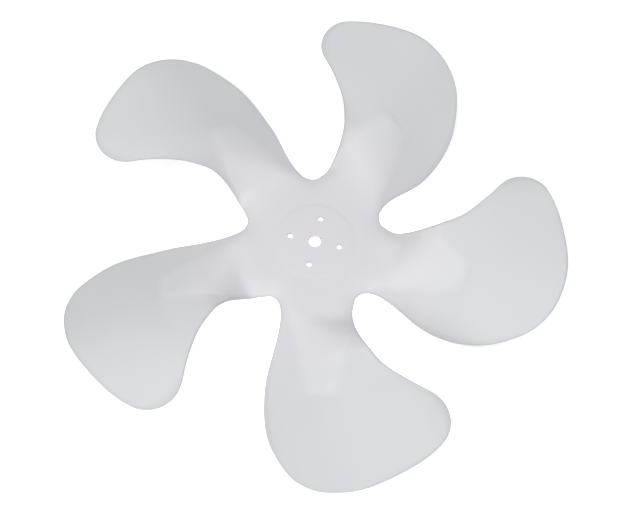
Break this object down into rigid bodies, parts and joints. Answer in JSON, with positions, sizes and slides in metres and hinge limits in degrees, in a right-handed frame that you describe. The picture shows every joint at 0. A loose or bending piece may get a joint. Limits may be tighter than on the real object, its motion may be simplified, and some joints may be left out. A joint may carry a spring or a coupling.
{
  "type": "fan blade",
  "caption": "Moulded milky plastic fan blade for a household fan: flat hub pad with a shaft hole and screw holes, raised arms and hooked, pitched blades.",
  "frame": {"origin": "centre of the shaft hole, on the front of the hub sheet, 0.4 mm below the pad's front face", "axes": "+Z along the shaft axis out of the front face seen in the picture, +Y through a notch between two blades"},
  "size_m": [0.3857, 0.3878, 0.0564],
  "materials": {
    "plastic": "satin, milky and slightly translucent"
  },
  "bodies": {
    "root": {"fan_blade": "plastic"}
  },
  "joints": []
}
